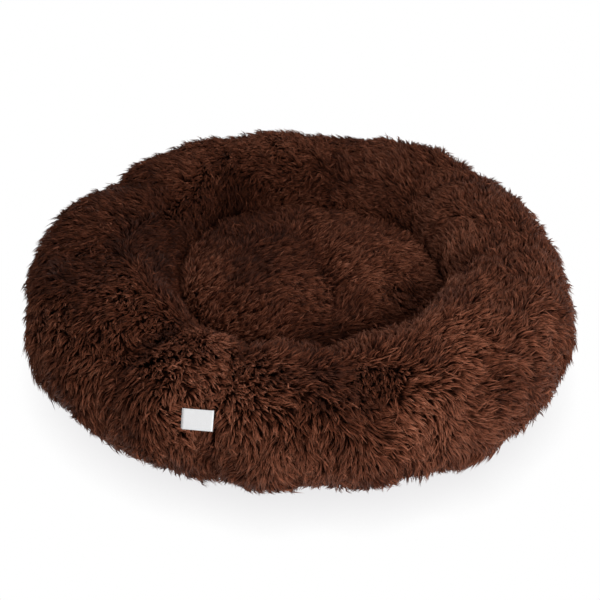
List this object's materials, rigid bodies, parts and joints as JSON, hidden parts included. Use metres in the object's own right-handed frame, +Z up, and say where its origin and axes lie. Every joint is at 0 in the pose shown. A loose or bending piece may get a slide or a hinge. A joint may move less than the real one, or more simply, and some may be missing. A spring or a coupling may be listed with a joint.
{
  "type": "donut pet bed",
  "caption": "Round long-pile plush pet bed: a soft raised ring round a crowned centre pad, with a non-slip base that unzips to take out the padding.",
  "frame": {"origin": "on the floor, under the middle of the ring", "axes": "+Z up from the floor, -Y towards the side with the label, X along the zip in the base"},
  "size_m": [0.7771, 0.7739, 0.1769],
  "materials": {
    "plush": "long-pile dark brown plush, soft sheen",
    "non_slip_cloth": "matt black non-woven cloth with small grip dots",
    "liner_cloth": "thin off-white non-woven cloth",
    "fibre_fill": "loose white polyester fibre",
    "zip_tape": "black woven tape",
    "zip_coil": "black nylon coil, slight gloss",
    "zip_metal": "black enamel, satin",
    "label_satin": "white woven satin, bare"
  },
  "bodies": {
    "cover": {"ring_panel_left": "plush", "ring_panel_right": "plush", "centre_panel": "plush", "base_panel_front": "non_slip_cloth", "base_panel_rear": "non_slip_cloth", "ring_liner_upper": "liner_cloth", "ring_liner_lower": "liner_cloth", "ring_fill": "fibre_fill", "centre_liner_upper": "liner_cloth", "centre_liner_lower": "liner_cloth", "centre_fill": "fibre_fill", "zip_tape_front": "zip_tape", "zip_tape_rear": "zip_tape", "zip_coil_front": "zip_coil", "zip_coil_rear": "zip_coil", "bar_tack_left": "zip_tape", "bar_tack_right": "zip_tape", "label": "label_satin"},
    "slider": {"zip_slider": "zip_metal"},
    "pull": {"zip_pull": "zip_metal"}
  },
  "joints": [
    {"name": "zip_slide", "type": "slide", "parent": "cover", "child": "slider", "axis": [1, 0, 0], "range_m": [0, 0.366], "deforming": ["zip_coil_front", "zip_coil_rear"]},
    {"name": "pull_swing", "type": "hinge", "parent": "slider", "child": "pull", "pos_m": [-0.1832, 0, 0.0027], "axis": [0, 1, 0], "range_deg": [0, 180]}
  ]
}
